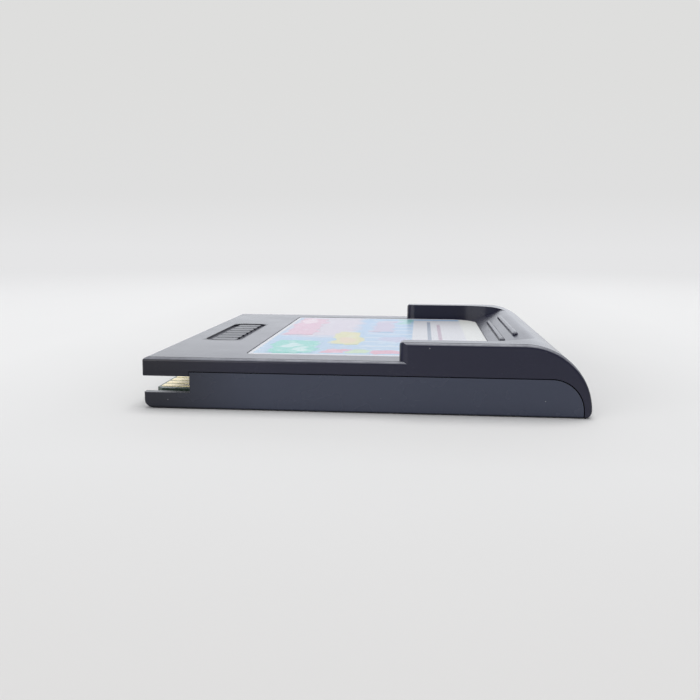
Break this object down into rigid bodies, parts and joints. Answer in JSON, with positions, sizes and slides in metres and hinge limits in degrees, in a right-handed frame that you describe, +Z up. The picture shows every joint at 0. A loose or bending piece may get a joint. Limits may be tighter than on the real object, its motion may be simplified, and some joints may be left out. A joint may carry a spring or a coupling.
{
  "type": "handheld console game cartridge",
  "caption": "Flat plastic game cartridge with a side-open connector slot, a recessed label, two raised arms and a ribbed thumb scoop at its rolled grip end.",
  "frame": {"origin": "middle of the back face's outline, on the surface it rests on", "axes": "+X towards the rolled grip end, +Y across the cartridge, +Z up through the label face"},
  "size_m": [0.068, 0.0666, 0.0109],
  "materials": {
    "casing_front": "fine satin, charcoal",
    "casing_back": "fine satin, charcoal",
    "label_paper": "coated paper with printed fields of pale colour",
    "board_laminate": "green solder mask",
    "gold_plating": "gold flash",
    "masked_copper": "copper under green mask",
    "chip_resin": "moulded black resin",
    "tinned_leads": "tinned",
    "ceramic_body": "matt ceramic",
    "solder_caps": "soldered",
    "resistor_body": "black glaze",
    "screw_steel": "zinc-plated steel"
  },
  "bodies": {
    "root": {"front_shell": "casing_front", "rear_shell": "casing_back", "label": "label_paper", "circuit_board": "board_laminate", "edge_contacts": "gold_plating", "conductors": "masked_copper", "memory_chip": "chip_resin", "memory_chip_leads": "tinned_leads", "bank_chip": "chip_resin", "bank_chip_leads": "tinned_leads", "capacitors": "ceramic_body", "capacitor_caps": "solder_caps", "resistor": "resistor_body", "resistor_caps": "solder_caps", "case_screw": "screw_steel"}
  },
  "joints": []
}
